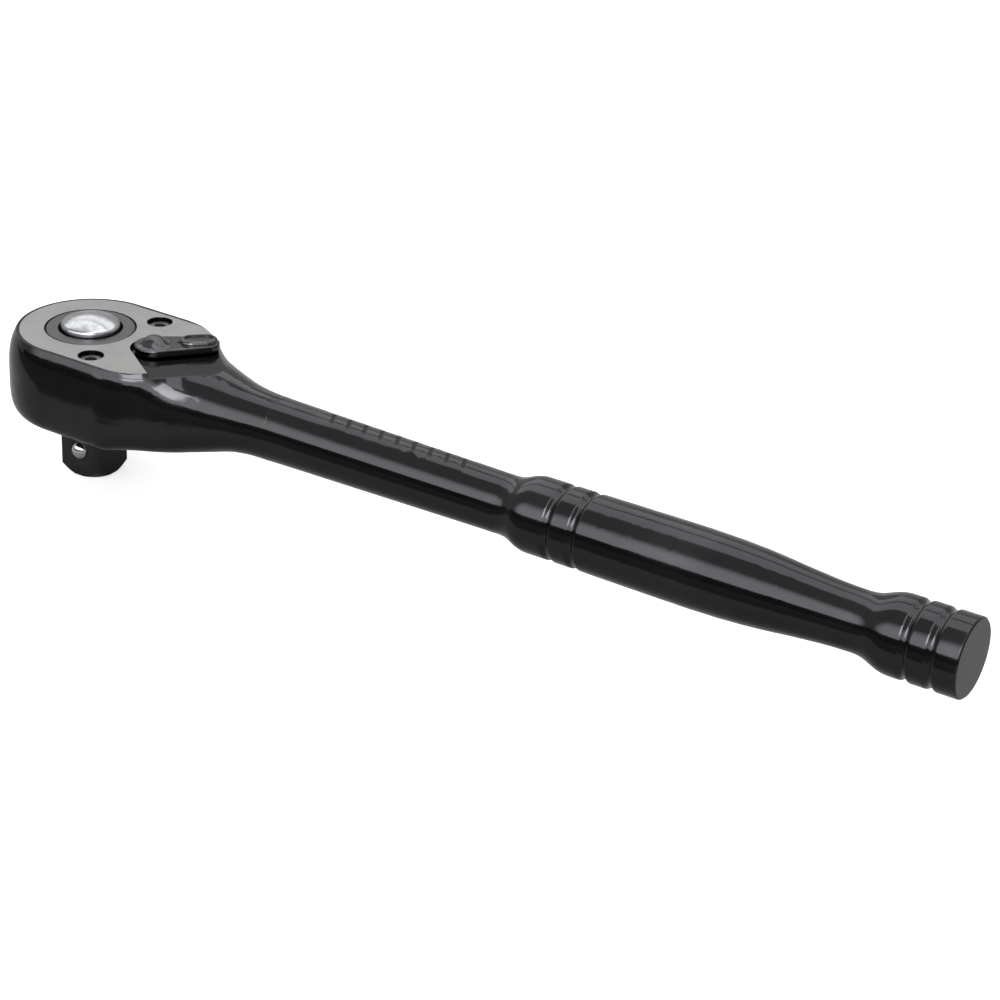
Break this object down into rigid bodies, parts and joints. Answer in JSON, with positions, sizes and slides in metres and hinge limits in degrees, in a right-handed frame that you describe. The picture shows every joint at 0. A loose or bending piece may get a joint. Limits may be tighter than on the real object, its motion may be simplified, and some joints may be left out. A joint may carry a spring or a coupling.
{
  "type": "reversible ratchet wrench",
  "caption": "Hand ratchet wrench with a square drive, quick-release button, thumb reversing lever and a turned round handle with grooved collars.",
  "frame": {"origin": "centre of the drive shoulder, the flat round face that the square grows from, on the drive axis", "axes": "+Z along the drive axis towards the release button, +X from the drive axis towards the butt of the handle"},
  "size_m": [0.2016, 0.0318, 0.0327],
  "materials": {
    "body_black": "polished black chrome plating on a forged body",
    "plate_steel": "fine straight brushing, satin",
    "screw_black": "black oxide",
    "drive_steel": "darker satin nickel, lightly worn on the square",
    "button_chrome": "polished chrome",
    "ball_chrome": "polished bearing ball",
    "lever_black": "dark satin plating",
    "spindle_steel": "dark satin plating",
    "pawl_steel": "ground and hardened",
    "pin_steel": "ground",
    "washer_steel": "ground",
    "spring_steel": "drawn spring wire",
    "seal_rubber": "black nitrile"
  },
  "bodies": {
    "wrench_body": {"handle_body": "body_black", "cover_plate": "plate_steel", "cover_screw_far": "screw_black", "cover_screw_near": "screw_black", "lever_snap_ring": "spring_steel"},
    "drive": {"drive_gear": "drive_steel", "gear_seal": "seal_rubber", "thrust_washer": "washer_steel", "button_spring": "spring_steel"},
    "button": {"release_button": "button_chrome", "release_pin": "pin_steel"},
    "ball": {"detent_ball": "ball_chrome"},
    "lever": {"reversing_lever": "lever_black", "selector_spindle": "spindle_steel", "lever_plunger": "pin_steel", "lever_spring": "spring_steel", "lever_seal": "seal_rubber"},
    "rocking_pawl": {"pawl": "pawl_steel"}
  },
  "joints": [
    {"name": "drive_spin", "type": "hinge", "parent": "wrench_body", "child": "drive", "pos_m": [0, 0, 0], "axis": [0, 0, 1], "continuous": true},
    {"name": "button_press", "type": "slide", "parent": "drive", "child": "button", "axis": [0, 0, -1], "range_m": [0, 0.002], "stiffness_N_per_m": 3000, "springref_m": -0.001, "deforming": ["button_spring"]},
    {"name": "ball_press", "type": "slide", "parent": "drive", "child": "ball", "axis": [0, 1, 0], "range_m": [0, 0.00095]},
    {"name": "lever_flip", "type": "hinge", "parent": "wrench_body", "child": "lever", "pos_m": [0.0158, 0, 0], "axis": [0, 0, 1], "range_deg": [-88, 0]},
    {"name": "pawl_rock", "type": "hinge", "parent": "wrench_body", "child": "rocking_pawl", "pos_m": [0.0158, 0, 0], "axis": [0, 0, 1], "range_deg": [0, 5.6]}
  ],
  "couplings": [
    {"joint": "ball_press", "follows": "button_press", "ratio": 0.475},
    {"joint": "pawl_rock", "follows": "lever_flip", "ratio": -0.063636}
  ]
}
